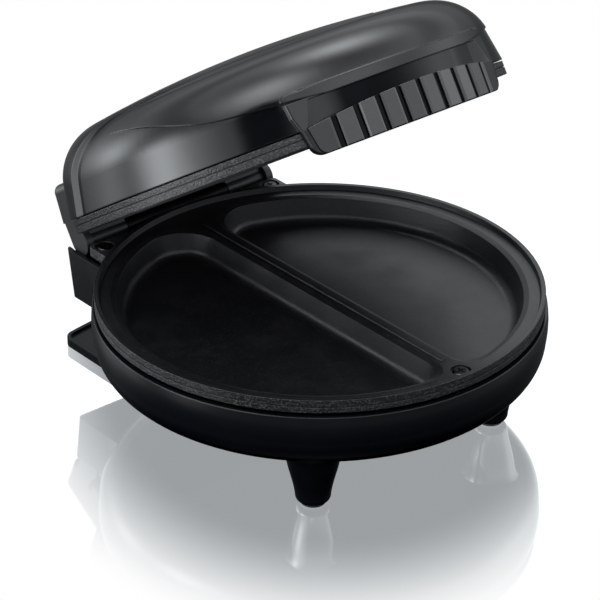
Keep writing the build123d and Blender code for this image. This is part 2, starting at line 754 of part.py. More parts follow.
def lid_cover():
    upper = Pos(0, tilt_y, tilt_z) * Rot(-upper_tilt, 0, 0) * Pos(0, -tilt_y, -tilt_z) \
        * dome(upper_inset, 0, upper_shift, cover_bottom)
    cover = dome(0, 0, 0, cover_bottom) & raised(back_outline(), 0, cover_top + 1)
    cover += upper & above_waist()
    cover += dome(lower_inset, lower_drop, lower_shift, cover_bottom)
    cover += front_panel() + brow()
    cover -= cavity()
    cover += disc(boss_radius, upper_seat, recess_top, 0, front_screw_y) & disc(recess_radius, 0, recess_top)
    cover -= disc(shank_radius + hole_gap, upper_seat - 1, upper_seat + shank_length, 0, front_screw_y)
    cover -= disc(boss_radius + 2, 0, upper_seat, 0, front_screw_y) & disc(grip_back, 0, recess_top)
    wide = tab_half_width + 0.3
    cover -= block(-wide, wide, tab_front - tab_root, cover_radius + 1, 0, upper_seat + seat_gap)
    cover -= finger_recess()
    cover -= grip_seat(seat_gap) - disc(grip_back - seat_gap, 0, cover_top)
    for x in (-lens_x, lens_x):
        cover -= disc(lens_radius + hole_gap, holder_top, cover_top + 1, x, lens_y)
    for x in (-holder_screw_x, holder_screw_x):
        cover += disc(holder_boss, holder_top, cover_top - crown_wall, x, lens_y)
        cover -= disc(holder_screw_radius + hole_gap, 0, holder_top + holder_screw_length + 1, x, lens_y)
    for x in (-bracket_screw_x, bracket_screw_x):
        across = Pos(x, 0, bracket_screw_z) * Rot(-90, 0, 0)
        cover -= across * disc(shank_radius + hole_gap, bracket_front, bracket_screw_tip)
        cover -= across * disc(head_radius, bracket_front, bracket_screw_y)
    return cover


# --- grip ---
def grip_plan():
    """Flat facets with bevelled edges, parted by upright grooves."""
    half_facet = pitch_angle / 2 - degrees(groove_width / 2 / grip_outer)
    half_groove = degrees(groove_foot_width / 2 / grip_outer)
    bevel = degrees(facet_bevel / grip_outer)
    reach = degrees(asin((front_half_width + 1) / grip_outer))

    def spot(radius, angle):
        return radius * sin(radians(angle)), -radius * cos(radians(angle))

    side = grip_outer - facet_bevel_depth
    points = [spot(grip_outer, -reach)]
    for i in range(groove_count):
        middle = (i - (groove_count - 1) / 2) * pitch_angle
        before, after = middle - pitch_angle / 2 + half_facet, middle + pitch_angle / 2 - half_facet
        points += [spot(grip_outer, before - bevel), spot(side, before),
                   spot(grip_outer - groove_depth, middle - half_groove),
                   spot(grip_outer - groove_depth, middle + half_groove),
                   spot(side, after), spot(grip_outer, after + bevel)]
    points.append(spot(grip_outer, reach))
    back = ThreePointArc(spot(grip_back, reach), (0, -grip_back), spot(grip_back, -reach))
    return make_face(Polyline(back @ 1, *points, back @ 0) + back)


def grip():
    """Faceted bar that wraps the front of the lid and sits in the panel's pocket."""
    bar = raised(grip_plan(), grip_bottom, grip_top + 1) & grip_seat(0)
    low = grip_bottom + grip_rounding
    outer = grip_outer + 0.1
    corner = (outer - grip_rounding * 0.293, low - grip_rounding * 0.707)
    foot = ThreePointArc((outer - grip_rounding, grip_bottom), corner, (outer, low))
    rest = Polyline((outer, low), (outer, grip_top + 1), (0, grip_top + 1), (0, grip_bottom),
                    (outer - grip_rounding, grip_bottom))
    return bar & turned(foot + rest)


# --- rear bracket of the lid ---
def lid_bracket():
    low = upper_seat
    profile = Polyline((bracket_front, low), (bracket_rear_low, low), (bracket_rear_high, bracket_top),
                       (bracket_front, bracket_top), close=True)
    body = extrude(Plane.YZ * make_face(profile), cheek_half_width, both=True)
    body = fillet(rear_corners(body, bracket_top - low), bracket_corner)
    top_edges = body.edges().filter_by(Axis.X).filter_by(lambda e: e.center().Z > bracket_top - 1)
    body = fillet(top_edges.sort_by(Axis.Y)[-1], bracket_corner)
    body -= dome(-seat_gap, 0, 0, low - 1)
    knuckle_start = knuckle_split + knuckle_gap / 2
    for side in (-1, 1):
        inner, outer = sorted((side * knuckle_start, side * barrel_half_length))
        body += on_hinge(barrel_radius, inner, outer)
        body += block(inner, outer, hinge_y - barrel_radius * 0.8, hinge_y + knuckle_web_rear, hinge_z, low + 1)
        inner, outer = sorted((side * (cheek_half_width - cheek_thickness), side * cheek_half_width))
        body += on_hinge(cheek_radius, inner, outer)
        body += block(inner, outer, hinge_y - cheek_radius * 0.8, hinge_y + cheek_radius, hinge_z, low + 1)
        body -= disc(shank_radius + hole_gap, low - 1, low + shank_length - 1, side * rear_screw_x, rear_screw_y)
        across = Pos(side * bracket_screw_x, 0, bracket_screw_z) * Rot(-90, 0, 0)
        body -= across * disc(shank_radius + hole_gap, bracket_front, bracket_screw_tip)
    pin_end = cheek_half_width - pin_end_gap
    return body - on_hinge(pin_radius + pin_clearance, -pin_end, pin_end)


def hinge_pin():
    reach = cheek_half_width - pin_end_gap - seat_gap
    return on_hinge(pin_radius, -reach, reach)


def bracket_screws():
    """They pass through the cover from inside and hold it to the bracket."""
    screw = cross_screw(0, 0, 0, bracket_screw_tip - 1 - bracket_screw_y)
    return Compound([Pos(x, bracket_screw_y, bracket_screw_z) * Rot(90, 0, 0) * screw
                     for x in (-bracket_screw_x, bracket_screw_x)])


# --- indicator lamps ---
def lens(x):
    top = cover_top - lens_y ** 2 / (2 * crown_radius)
    body = disc(lens_radius, lens_seat - 1, top, x, lens_y)
    body = fillet(body.edges().sort_by(Axis.Z)[-1], lens_rounding)
    return body + disc(lens_flange, lens_seat - lens_thickness, lens_seat - seat_gap, x, lens_y)


def neon_lamps():
    lamps = []
    for x in (-lens_x, lens_x):
        lamp = disc(lamp_radius, holder_top, holder_top + lamp_length, x, lens_y)
        lamps.append(fillet(lamp.edges().sort_by(Axis.Z)[-1], lamp_radius * 0.9))
    return Compound(lamps)


def lamp_holder():
    bar = block(-holder_half_width, holder_half_width, lens_y - holder_depth / 2, lens_y + holder_depth / 2,
                holder_top - holder_thickness, holder_top - seat_gap)
    bar = fillet(bar.edges().filter_by(Axis.Z), holder_corner)
    for x in (-holder_screw_x, holder_screw_x):
        bar -= disc(holder_screw_radius + hole_gap, 0, holder_top + 1, x, lens_y)
    return bar


def holder_screws():
    head = disc(2 * holder_screw_radius, -holder_screw_radius, 0)
    screw = fillet(head.edges().sort_by(Axis.Z)[0], holder_screw_radius / 2)
    screw += disc(holder_screw_radius, 0, holder_thickness + holder_screw_length)
    places = (-holder_screw_x, holder_screw_x)
    return Compound([Pos(x, lens_y, holder_top - holder_thickness) * screw for x in places])


def leg_screws():
    length = wall_floor + leg_boss_height - 2 - leg_screw_head
    return Compound([cross_screw(x, leg_y, leg_screw_head - seat_gap, length, False) for x in (-leg_x, leg_x)])


def stand_screws():
    length = neck_wall + housing_wall + stand_boss_height - 2
    return Compound([cross_screw(x, y, floor_height - neck_wall, length, False) for x, y in stand_screw_places])


plate = lower_plate()
tube = element(element_radius)
clamps = element_clamps()
shield = heat_shield()

save("base_housing", base_housing())
save("front_leg_left", front_leg(-leg_x))
save("front_leg_right", front_leg(leg_x))
save("rear_stand", rear_stand())
save("foot_pads", foot_pads())
save("leg_screws", leg_screws())
save("stand_screws", stand_screws())
save("lower_cooking_plate", plate)
save("lower_plate_screws", plate_screws())
save("lower_heating_element", tube)
save("lower_element_clamps", clamps)
save("lower_heat_shield", shield)
save("lower_shield_screws", shield_screws())
save("thermostat", thermostat())
save("thermal_fuse", thermal_fuse())
save("terminal_block", terminal_block())
save("cord_gland", cord_gland())
save("hinge_pin", hinge_pin())

save("lid_cover", opened(lid_cover()))
save("handle_grip", opened(grip()))
save("lid_hinge_bracket", opened(lid_bracket()))
save("bracket_screws", opened(bracket_screws()))
save("upper_cooking_plate", opened(upside_down(plate)))
save("upper_plate_screws", opened(upside_down(plate_screws())))
save("upper_heating_element", opened(upside_down(tube)))
save("upper_element_clamps", opened(upside_down(clamps)))
save("upper_heat_shield", opened(upside_down(shield)))
save("upper_shield_screws", opened(upside_down(shield_screws())))
save("power_lens", opened(lens(-lens_x)))
save("ready_lens", opened(lens(lens_x)))
save("neon_lamps", opened(neon_lamps()))
save("lamp_holder", opened(lamp_holder()))
save("holder_screws", opened(holder_screws()))
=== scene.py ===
import math
import bpy
from mathutils import Matrix, Vector

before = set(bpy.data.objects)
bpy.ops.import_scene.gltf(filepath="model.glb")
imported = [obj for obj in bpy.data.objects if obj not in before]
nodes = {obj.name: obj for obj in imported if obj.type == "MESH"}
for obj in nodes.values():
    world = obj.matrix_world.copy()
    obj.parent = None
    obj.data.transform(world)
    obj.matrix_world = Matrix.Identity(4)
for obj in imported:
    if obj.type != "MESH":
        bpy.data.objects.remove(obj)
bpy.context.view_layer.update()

plateAxisY = -0.0137          # the round plates are centred here, in front of the frame's origin
lidOpening = math.radians(33.1)
hingeLine = Vector((0.0, 0.1154 + plateAxisY, 0.0662))
upright = Vector((0.0, 0.0, 1.0))
toTheRight = Vector((1.0, 0.0, 0.0))
baseCentre = Vector((0.0, plateAxisY, 0.0))
lidTurn = Matrix.Rotation(-lidOpening, 3, "X")
lidUpright = lidTurn @ upright
lidAhead = lidTurn @ Vector((0.0, -1.0, 0.0))
lidCentre = hingeLine + lidTurn @ (baseCentre - hingeLine)
print("frame loaded:", len(nodes), "nodes")


# node helpers
def newTree(owner):
    owner.use_nodes = True
    tree = owner.node_tree
    tree.nodes.clear()
    return tree


def addNode(tree, kind, place=(0, 0), **settings):
    node = tree.nodes.new(kind)
    node.location = place
    for name, value in settings.items():
        setattr(node, name, value)
    return node


def setInputs(node, values):
    for name, value in values.items():
        node.inputs[name].default_value = value
    return node


def join(tree, value, socket):
    if hasattr(value, "is_output"):
        tree.links.new(value, socket)
    else:
        socket.default_value = value


def mathNode(tree, operation, *values, place=(0, 0), clamp=False):
    node = addNode(tree, "ShaderNodeMath", place, operation=operation, use_clamp=clamp)
    for socket, value in zip(node.inputs, values):
        join(tree, value, socket)
    return node.outputs[0]


def vectorNode(tree, operation, first, second=None, place=(0, 0)):
    node = addNode(tree, "ShaderNodeVectorMath", place, operation=operation)
    join(tree, first, node.inputs[0])
    if second is not None:
        join(tree, second, node.inputs[1])
    return node.outputs["Value"] if operation in ("LENGTH", "DOT_PRODUCT") else node.outputs["Vector"]


def ramp(tree, value, low, high, start=0.0, end=1.0, place=(0, 0), smooth=True):
    node = addNode(tree, "ShaderNodeMapRange", place, interpolation_type="SMOOTHSTEP" if smooth else "LINEAR")
    join(tree, value, node.inputs["Value"])
    setInputs(node, {"From Min": low, "From Max": high, "To Min": start, "To Max": end})
    return node.outputs["Result"]


def mixColor(tree, factor, first, second, place=(0, 0)):
    node = addNode(tree, "ShaderNodeMix", place, data_type="RGBA")
    join(tree, factor, node.inputs[0])
    join(tree, first, node.inputs[6])
    join(tree, second, node.inputs[7])
    return node.outputs[2]


def newGroup(name, inputs, outputs):
    group = bpy.data.node_groups.new(name, "ShaderNodeTree")
    for label, kind, value in inputs:
        group.interface.new_socket(name=label, in_out="INPUT", socket_type=kind).default_value = value
    for label, kind in outputs:
        group.interface.new_socket(name=label, in_out="OUTPUT", socket_type=kind)
    return group, addNode(group, "NodeGroupInput", (-900, 0)), addNode(group, "NodeGroupOutput", (700, 0))


def useGroup(tree, group, values, place=(0, 0)):
    node = addNode(tree, "ShaderNodeGroup", place, node_tree=group)
    for name, value in values.items():
        join(tree, value, node.inputs[name])
    return node


def noiseAt(tree, coords, scale, detail, roughness, place=(0, 0)):
    noise = setInputs(addNode(tree, "ShaderNodeTexNoise", place), {"Detail": detail, "Roughness": roughness})
    tree.links.new(coords, noise.inputs["Vector"])
    join(tree, scale, noise.inputs["Scale"])
    return noise.outputs["Fac"]


# effects that several finishes share
skinNoise = {"rippleDetail": 1.0, "grainDetail": 3.0, "roughness": 0.55}
mottle = {"scale": 38.0, "detail": 4.0, "roughness": 0.6, "range": (0.3, 0.7)}  # soft clouds in the polish


def makeMouldSkin():  # slow ripple of a moulding with a fine grain over it, and a soft mottle
    group, entry, leave = newGroup("mouldSkin", [
        ("Ripple Size", "NodeSocketFloat", 0.009), ("Ripple", "NodeSocketFloat", 1.0),
        ("Grain Size", "NodeSocketFloat", 0.0006), ("Grain", "NodeSocketFloat", 0.1)],
        [("Height", "NodeSocketFloat"), ("Mottle", "NodeSocketFloat"), ("Ripple", "NodeSocketFloat")])
    coords = addNode(group, "ShaderNodeTexCoord", (-900, -300)).outputs["Object"]
    layers = []
    for size, amount, detail, y in (("Ripple Size", "Ripple", skinNoise["rippleDetail"], 200),
                                    ("Grain Size", "Grain", skinNoise["grainDetail"], -100)):
        scale = mathNode(group, "DIVIDE", 1.0, entry.outputs[size], place=(-650, y))
        noise = noiseAt(group, coords, scale, detail, skinNoise["roughness"], (-450, y))
        layers.append(mathNode(group, "MULTIPLY", noise, entry.outputs[amount], place=(-250, y)))
        if amount == "Ripple":
            group.links.new(noise, leave.inputs["Ripple"])
    group.links.new(mathNode(group, "ADD", *layers, place=(0, 100)), leave.inputs["Height"])
    clouds = noiseAt(group, coords, mottle["scale"], mottle["detail"], mottle["roughness"], (-450, -400))
    group.links.new(clouds, leave.inputs["Mottle"])
    return group


dustCloud = {"detail": 6.0, "roughness": 0.62, "low": 0.45, "high": 0.75}
dustSpeck = {"scale": 900.0, "detail": 2.0, "roughness": 0.5, "low": 0.68, "high": 0.74}


def makeDust():  # thin clouds and single specks of dust
    group, entry, leave = newGroup("dust", [
        ("Color", "NodeSocketColor", (0.02, 0.02, 0.02, 1)),
        ("Dust Color", "NodeSocketColor", (0.3, 0.3, 0.3, 1)),
        ("Amount", "NodeSocketFloat", 0.1), ("Cloud Size", "NodeSocketFloat", 0.03)],
        [("Color", "NodeSocketColor"), ("Mask", "NodeSocketFloat")])
    coords = addNode(group, "ShaderNodeTexCoord", (-900, -300)).outputs["Object"]
    scale = mathNode(group, "DIVIDE", 1.0, entry.outputs["Cloud Size"], place=(-650, 100))
    cloudNoise = noiseAt(group, coords, scale, dustCloud["detail"], dustCloud["roughness"], (-450, 100))
    cloud = ramp(group, cloudNoise, dustCloud["low"], dustCloud["high"], place=(-250, 100))
    speckNoise = noiseAt(group, coords, dustSpeck["scale"], dustSpeck["detail"], dustSpeck["roughness"],
                         (-450, -200))
    speck = ramp(group, speckNoise, dustSpeck["low"], dustSpeck["high"], place=(-250, -200))
    both = mathNode(group, "MAXIMUM", cloud, speck, place=(0, 0))
    mask = mathNode(group, "MULTIPLY", both, entry.outputs["Amount"], place=(200, 0), clamp=True)
    color = mixColor(group, mask, entry.outputs["Color"], entry.outputs["Dust Color"], (450, 100))
    group.links.new(color, leave.inputs["Color"])
    group.links.new(mask, leave.inputs["Mask"])
    return group


fleckShare = (0.62, 0.95)     # which cells hold a fleck
fleckReach = (0.18, 0.42)     # its soft edge, in cells


def makeSpeckle():  # small pale flecks, as in a non-stick coating or an unglazed ceramic
    group, entry, leave = newGroup("speckle", [
        ("Color", "NodeSocketColor", (0.02, 0.02, 0.02, 1)),
        ("Fleck Color", "NodeSocketColor", (0.1, 0.1, 0.1, 1)),
        ("Fleck Size", "NodeSocketFloat", 0.0008), ("Amount", "NodeSocketFloat", 0.5)],
        [("Color", "NodeSocketColor")])
    coords = addNode(group, "ShaderNodeTexCoord", (-900, -300)).outputs["Object"]
    scale = mathNode(group, "DIVIDE", 1.0, entry.outputs["Fleck Size"], place=(-650, 0))
    cells = addNode(group, "ShaderNodeTexVoronoi", (-450, 0))
    group.links.new(coords, cells.inputs["Vector"])
    group.links.new(scale, cells.inputs["Scale"])
    pick = addNode(group, "ShaderNodeSeparateColor", (-250, 100))
    group.links.new(cells.outputs["Color"], pick.inputs["Color"])
    chosen = ramp(group, pick.outputs["Red"], *fleckShare, place=(-50, 100))
    near = ramp(group, cells.outputs["Distance"], *fleckReach, 1.0, 0.0, place=(-50, -200))
    flecks = mathNode(group, "MULTIPLY", chosen, near, place=(150, 0))
    amount = mathNode(group, "MULTIPLY", flecks, entry.outputs["Amount"], place=(300, 0), clamp=True)
    color = mixColor(group, amount, entry.outputs["Color"], entry.outputs["Fleck Color"], (450, 100))
    group.links.new(color, leave.inputs["Color"])
    return group


def makeFromAxis():  # distance from an upright axis, and the height along it
    group, entry, leave = newGroup("fromAxis", [
        ("Centre", "NodeSocketVector", (0, 0, 0)), ("Axis", "NodeSocketVector", (0, 0, 1))],
        [("Radius", "NodeSocketFloat"), ("Height", "NodeSocketFloat")])
    coords = addNode(group, "ShaderNodeTexCoord", (-900, -300)).outputs["Object"]
    away = vectorNode(group, "SUBTRACT", coords, entry.outputs["Centre"], (-500, 0))
    across = vectorNode(group, "CROSS_PRODUCT", away, entry.outputs["Axis"], (-250, 100))
    group.links.new(vectorNode(group, "LENGTH", across, place=(0, 100)), leave.inputs["Radius"])
    group.links.new(vectorNode(group, "DOT_PRODUCT", away, entry.outputs["Axis"], (0, -100)),
                    leave.inputs["Height"])
    return group


mouldSkin = makeMouldSkin()
dust = makeDust()
speckle = makeSpeckle()
fromAxis = makeFromAxis()
print("shared effects made")


# finishes
heightEdge = 0.0003           # how softly a zone ends at its two heights
frontEdge = 0.002
paleCrestRange = (0.5, 0.62)       # crests of the ripple that turn to the pale colour
dustRoughness = 0.5


def recessShadeMask(tree, zone, height):  # painted shade on the recess wall: between two heights, in front, and fading towards the right
    low, high = zone["heights"]
    above = ramp(tree, height, low, low + heightEdge, place=(-400, -900))
    below = ramp(tree, height, high + heightEdge, high, place=(-400, -1100))
    ahead = useGroup(tree, fromAxis, {"Centre": zone["centre"], "Axis": zone["ahead"]}, (-650, -1300))
    front = ramp(tree, ahead.outputs["Height"], zone["front"], zone["front"] + frontEdge, place=(-400, -1300))
    coords = addNode(tree, "ShaderNodeTexCoord", (-900, -1500)).outputs["Object"]
    across = vectorNode(tree, "DOT_PRODUCT", coords, toTheRight, (-650, -1500))
    left = ramp(tree, across, *zone["leftEdge"], place=(-400, -1500))
    right = ramp(tree, across, *zone["rightFade"], 1.0, zone["rightShare"], place=(-400, -1700))
    levels = mathNode(tree, "MULTIPLY", above, below, place=(-200, -1000))
    sides = mathNode(tree, "MULTIPLY", left, right, place=(-200, -1500))
    middle = mathNode(tree, "MULTIPLY", levels, front, place=(0, -1100))
    return mathNode(tree, "MULTIPLY", middle, sides, place=(150, -1100))


def finishMaterial(name, look):
    material = bpy.data.materials.new(name)
    tree = newTree(material)
    output = addNode(tree, "ShaderNodeOutputMaterial", (900, 0))
    shader = addNode(tree, "ShaderNodeBsdfPrincipled", (600, 0))
    tree.links.new(shader.outputs["BSDF"], output.inputs["Surface"])
    setInputs(shader, {"IOR": look["ior"], "Specular IOR Level": look["specular"],
                       "Metallic": look["metallic"], "Transmission Weight": look["clear"]})
    dusty = useGroup(tree, dust, {"Color": (*look["color"], 1), "Dust Color": (*look["dustColor"], 1),
                                  "Amount": look["dustAmount"], "Cloud Size": look["dustSize"]}, (-400, 300))
    skin = useGroup(tree, mouldSkin, {"Ripple Size": look["rippleSize"], "Ripple": look["ripple"],
                                      "Grain Size": look["grainSize"], "Grain": look["grain"]}, (-400, -100))
    color, height = dusty.outputs["Color"], skin.outputs["Height"]
    rough = ramp(tree, skin.outputs["Mottle"], *mottle["range"], *look["roughness"], place=(-150, 0))
    if look["fleckAmount"]:
        flecked = useGroup(tree, speckle, {"Color": color, "Fleck Color": (*look["fleckColor"], 1),
                                           "Fleck Size": look["fleckSize"], "Amount": look["fleckAmount"]},
                           (-150, 300))
        color = flecked.outputs["Color"]
    if "zone" in look:  # a second skin beyond a radius about an axis, or inside it where blend is below 0; in the finger recess and grip grooves it is painted shade
        zone = look["zone"]
        place = useGroup(tree, fromAxis, {"Centre": zone["centre"], "Axis": zone["axis"]}, (-650, -500))
        mask = ramp(tree, place.outputs["Radius"], zone["start"], zone["start"] + zone["blend"],
                    place=(-400, -500))
        if "heights" in zone:
            # where the painted shade of the finger recess lies
            inside = recessShadeMask(tree, zone, place.outputs["Height"])
            mask = mathNode(tree, "MULTIPLY", mask, inside, place=(300, -900))
        second = useGroup(tree, mouldSkin, {"Ripple Size": zone["rippleSize"], "Ripple": zone["ripple"],
                                            "Grain Size": zone["grainSize"], "Grain": zone["grain"]},
                          (-400, -700))
        # the crests of the second skin's ripple take the pale colour
        paleCrests = ramp(tree, second.outputs["Ripple"], *paleCrestRange, place=(-150, 100))
        zoneColor = mixColor(tree, paleCrests, (*zone["color"], 1), (*zone["paleColor"], 1), (-50, 200))
        color = mixColor(tree, mask, color, zoneColor, (50, 300))
        if zone["dull"] != look["metallic"]:  # near black metal mirrors less than a gloss moulding, which deepens the painted shade in the recess and grooves
            dull = ramp(tree, mask, 0.0, 1.0, look["metallic"], zone["dull"], place=(350, 100), smooth=False)
            tree.links.new(dull, shader.inputs["Metallic"])
        coarse = mathNode(tree, "MULTIPLY", mask, second.outputs["Height"], place=(-150, -600))
        height = mathNode(tree, "ADD", height, coarse, place=(50, -400))
        spread = ramp(tree, second.outputs["Mottle"], *mottle["range"], *zone["roughness"], place=(-150, -800))
        apart = mathNode(tree, "SUBTRACT", spread, rough, place=(0, -200))
        rough = mathNode(tree, "MULTIPLY_ADD", mask, apart, rough, place=(150, -150))
    tree.links.new(color, shader.inputs["Base Color"])
    rough = mathNode(tree, "MULTIPLY_ADD", dusty.outputs["Mask"], dustRoughness, rough, place=(350, -100),
                     clamp=True)
    tree.links.new(rough, shader.inputs["Roughness"])
    edge = addNode(tree, "ShaderNodeBevel", (100, -600))  # softens the moulded edges
    edge.inputs["Radius"].default_value = look["edgeRadius"]
    bump = setInputs(addNode(tree, "ShaderNodeBump", (350, -400)), {"Strength": 1.0, "Distance": look["bump"]})
    tree.links.new(height, bump.inputs["Height"])
    tree.links.new(edge.outputs["Normal"], bump.inputs["Normal"])
    tree.links.new(bump.outputs["Normal"], shader.inputs["Normal"])
    return material


glossLook = {"color": (0.0026, 0.0034, 0.0048), "ior": 1.5, "specular": 0.5, "metallic": 0.0, "clear": 0.0,
             "roughness": (0.05, 0.08), "dustColor": (0.05, 0.05, 0.052), "dustAmount": 0.02,
             "dustSize": 0.03, "rippleSize": 0.012, "ripple": 1.0, "grainSize": 0.0008, "grain": 0.04,
             "bump": 0.00002, "edgeRadius": 0.0005, "fleckColor": (0.1, 0.1, 0.1), "fleckSize": 0.0008,
             "fleckAmount": 0.0}
satinSkin = {"color": (0.0035, 0.0042, 0.005), "paleColor": (0.006, 0.0068, 0.0075), "dull": 0.75,
             "roughness": (0.34, 0.46), "rippleSize": 0.01, "ripple": 0.3, "grainSize": 0.0006, "grain": 1.4}
# darker satin that mirrors less: painted shade for the finger recess and the grip grooves
recessShadeSkin = dict(satinSkin, color=(0.0016, 0.0022, 0.003), paleColor=(0.002, 0.0027, 0.0036), dull=0.9,
                  roughness=(0.16, 0.24), grain=0.5)
castSkin = {"color": (0.008, 0.0088, 0.01), "paleColor": (0.05, 0.051, 0.054), "dull": 0.0,
            "roughness": (0.25, 0.4), "rippleSize": 0.0009, "ripple": 2.5, "grainSize": 0.0005, "grain": 2.0}
boxZone = dict(satinSkin, centre=baseCentre, axis=upright, start=0.1119, blend=0.0002)  # hinge box, knuckles
fingerRecessShade = dict(recessShadeSkin, centre=lidCentre, axis=lidUpright, start=0.1078, blend=-0.0004,
                  heights=(0.0785, 0.0901), ahead=lidAhead, front=0.084, leftEdge=(-0.042, -0.031),
                  rightFade=(-0.016, 0.03), rightShare=0.4)  # painted shade on the wall of the finger recess
gripGrooveShade = dict(recessShadeSkin, centre=lidCentre, axis=lidUpright, start=0.1123, blend=-0.0006)  # painted shade in the grooves of the grip
lowerRimZone = dict(castSkin, centre=baseCentre, axis=upright, start=0.1093, blend=0.0004)
upperRimZone = dict(lowerRimZone, centre=lidCentre, axis=lidUpright)
housingLook = dict(glossLook, edgeRadius=0.0008, zone=boxZone)
legLook = dict(glossLook, roughness=(0.08, 0.13), edgeRadius=0.0004)
coverLook = dict(glossLook, color=(0.0024, 0.003, 0.0036), roughness=(0.07, 0.11), edgeRadius=0.0007,
                 zone=fingerRecessShade)
gripLook = dict(glossLook, color=(0.006, 0.0068, 0.008), specular=0.85, roughness=(0.1, 0.15),
                edgeRadius=0.0005, rippleSize=0.004, zone=gripGrooveShade)
satinLook = dict(glossLook, color=(0.007, 0.0078, 0.009), roughness=(0.32, 0.42), dustAmount=0.08,
                 ripple=0.3, grainSize=0.0005, grain=1.0, bump=0.00005)
standLook = dict(satinLook, color=(0.0026, 0.0036, 0.0048), specular=0.08, roughness=(0.2, 0.3),
                 dustAmount=0.02)
blockLook = dict(satinLook, color=(0.0095, 0.0105, 0.012), roughness=(0.34, 0.44))
plateLook = dict(satinLook, color=(0.006, 0.0065, 0.0075), roughness=(0.3, 0.4), dustAmount=0.1,
                 dustSize=0.02, dustColor=(0.05, 0.048, 0.046), grainSize=0.0007, bump=0.00006,
                 fleckColor=(0.05, 0.05, 0.052), fleckAmount=0.5, edgeRadius=0.0005)
lowerPlateLook = dict(plateLook, zone=lowerRimZone)
upperPlateLook = dict(plateLook, zone=upperRimZone)
rubberLook = dict(satinLook, color=(0.03, 0.03, 0.03), roughness=(0.65, 0.8), dustAmount=0.5,
                  dustColor=(0.2, 0.2, 0.19))
steelLook = dict(satinLook, color=(0.5, 0.5, 0.51), metallic=1.0, roughness=(0.22, 0.36), dustAmount=0.1,
                 grainSize=0.0003, bump=0.00002, edgeRadius=0.0002)
darkScrewLook = dict(steelLook, color=(0.06, 0.06, 0.062), roughness=(0.2, 0.32))
elementLook = dict(steelLook, color=(0.12, 0.115, 0.105), roughness=(0.4, 0.6))
sheetLook = dict(steelLook, color=(0.62, 0.62, 0.63), roughness=(0.28, 0.42))
ceramicLook = dict(satinLook, color=(0.62, 0.6, 0.55), roughness=(0.4, 0.6), grain=0.4, fleckAmount=0.3,
                   fleckColor=(0.4, 0.37, 0.32))
glandLook = dict(satinLook, color=(0.01, 0.01, 0.011), roughness=(0.4, 0.52))
redLensLook = dict(glossLook, color=(0.22, 0.008, 0.006), clear=0.3)
greenLensLook = dict(glossLook, color=(0.01, 0.12, 0.03), clear=0.3)
lampLook = dict(glossLook, color=(0.7, 0.66, 0.62), clear=0.85, roughness=(0.03, 0.06))
holderLook = dict(satinLook, color=(0.05, 0.05, 0.05))

finishes = {
    "glossHousing": (housingLook, ["base_housing"]),
    "glossLeg": (legLook, ["front_leg_left", "front_leg_right"]),
    "satinStand": (standLook, ["rear_stand"]),
    "footRubber": (rubberLook, ["foot_pads"]),
    "caseScrew": (steelLook, ["leg_screws", "stand_screws", "lower_shield_screws", "upper_shield_screws",
                              "bracket_screws", "holder_screws"]),
    "lowerNonStick": (lowerPlateLook, ["lower_cooking_plate"]),
    "upperNonStick": (upperPlateLook, ["upper_cooking_plate"]),
    "plateScrew": (darkScrewLook, ["lower_plate_screws", "upper_plate_screws"]),
    "elementTube": (elementLook, ["lower_heating_element", "upper_heating_element"]),
    "clampSteel": (steelLook, ["lower_element_clamps", "upper_element_clamps"]),
    "shieldSheet": (sheetLook, ["lower_heat_shield", "upper_heat_shield"]),
    "controlMetal": (steelLook, ["thermostat", "thermal_fuse"]),
    "steatite": (ceramicLook, ["terminal_block"]),
    "glandPlastic": (glandLook, ["cord_gland"]),
    "hingeSteel": (steelLook, ["hinge_pin"]),
    "glossCover": (coverLook, ["lid_cover"]),
    "glossGrip": (gripLook, ["handle_grip"]),
    "satinBlock": (blockLook, ["lid_hinge_bracket"]),
    "redLens": (redLensLook, ["power_lens"]),
    "greenLens": (greenLensLook, ["ready_lens"]),
    "lampGlass": (lampLook, ["neon_lamps"]),
    "holderPlastic": (holderLook, ["lamp_holder"]),
}
for name, (look, wearers) in finishes.items():
    material = finishMaterial(name, look)
    for wearer in wearers:
        mesh = nodes[wearer].data
        mesh.materials.clear()
        mesh.materials.append(material)
print("finishes made:", len(finishes))

